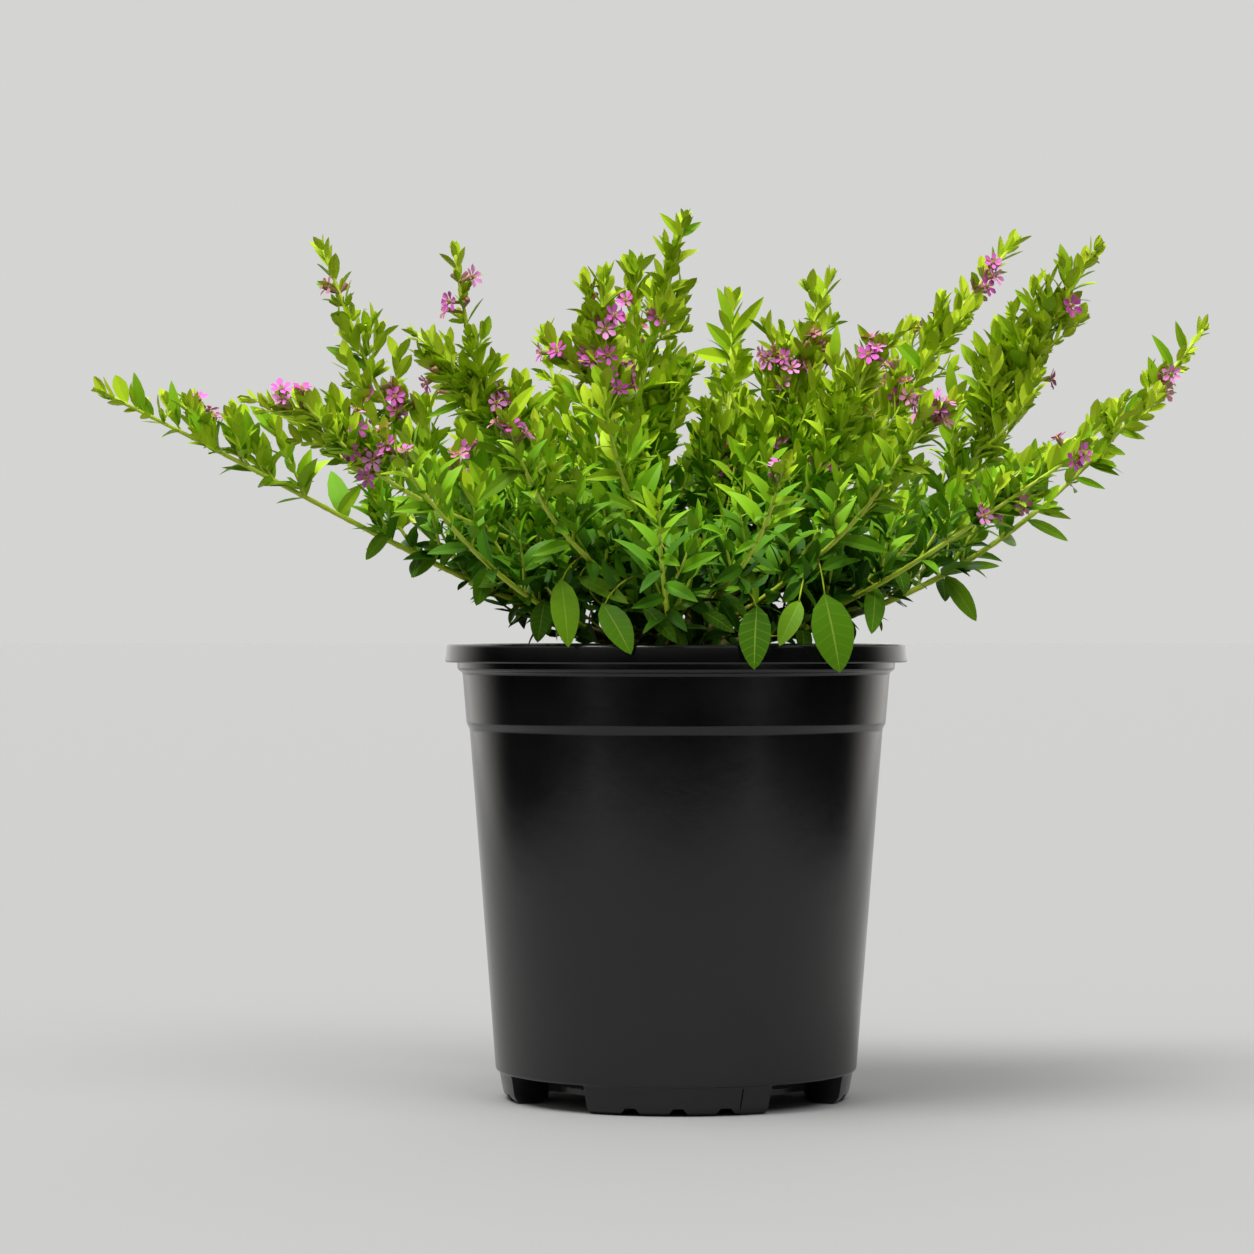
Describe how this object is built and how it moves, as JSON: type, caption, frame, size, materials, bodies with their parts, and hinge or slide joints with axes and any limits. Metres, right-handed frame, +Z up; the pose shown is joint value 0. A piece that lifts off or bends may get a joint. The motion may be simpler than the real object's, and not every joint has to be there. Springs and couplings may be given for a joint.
{
  "type": "flowering cuphea shrub in a nursery pot",
  "caption": "Small-leaved flowering cuphea shrub with pink-violet blossom on arching shoots, standing in a round black nursery pot.",
  "frame": {"origin": "on the ground, at the middle of the box round the whole plant and pot in plan, which is the pot's own axis, at the pot's underside", "axes": "+Z up along the pot's axis, +X to the right in the picture and along the plant's widest spread, -Y towards the camera"},
  "size_m": [0.4095, 0.3306, 0.3231],
  "materials": {
    "pot_plastic": "black injection-moulded polypropylene, satin with a fine texture",
    "potting_mix": "moist bark and peat potting mix, rough and crumbly",
    "stem_bark": "thin olive to reddish-brown bark, finely ridged",
    "foliage": "small smooth leaves, fresh green at the tips and darker inside"
  },
  "bodies": {
    "root": {"foliage_back": "foliage", "foliage_back_left": "foliage", "foliage_back_left_low": "foliage", "foliage_back_mid": "foliage", "foliage_back_right": "foliage", "foliage_back_right_low": "foliage", "foliage_centre": "foliage", "foliage_centre_behind": "foliage", "foliage_centre_left": "foliage", "foliage_centre_right": "foliage", "foliage_front_centre": "foliage", "foliage_front_left": "foliage", "foliage_front_low": "foliage", "foliage_front_low_left": "foliage", "foliage_front_mid": "foliage", "foliage_front_right": "foliage", "foliage_left_back": "foliage", "foliage_left_centre_back": "foliage", "foliage_left_flower": "foliage", "foliage_left_low": "foliage", "foliage_left_mid": "foliage", "foliage_left_tall": "foliage", "foliage_right_back": "foliage", "foliage_right_front_low": "foliage", "foliage_right_high": "foliage", "foliage_right_inner": "foliage", "foliage_right_low": "foliage", "foliage_right_mid": "foliage", "foliage_right_tall": "foliage", "pot": "pot_plastic", "potting_mix": "potting_mix", "root_crown": "stem_bark", "stem_back": "stem_bark", "stem_back_left": "stem_bark", "stem_back_left_low": "stem_bark", "stem_back_mid": "stem_bark", "stem_back_right": "stem_bark", "stem_back_right_low": "stem_bark", "stem_centre": "stem_bark", "stem_centre_left": "stem_bark", "stem_centre_right": "stem_bark", "stem_front_centre": "stem_bark", "stem_front_left": "stem_bark", "stem_front_low": "stem_bark", "stem_front_low_left": "stem_bark", "stem_front_mid": "stem_bark", "stem_front_right": "stem_bark", "stem_left_back": "stem_bark", "stem_left_centre_back": "stem_bark", "stem_left_flower": "stem_bark", "stem_left_low": "stem_bark", "stem_left_mid": "stem_bark", "stem_left_tall": "stem_bark", "stem_right_back": "stem_bark", "stem_right_front_low": "stem_bark", "stem_right_high": "stem_bark", "stem_right_inner": "stem_bark", "stem_right_low": "stem_bark", "stem_right_mid": "stem_bark", "stem_right_tall": "stem_bark"}
  },
  "joints": []
}
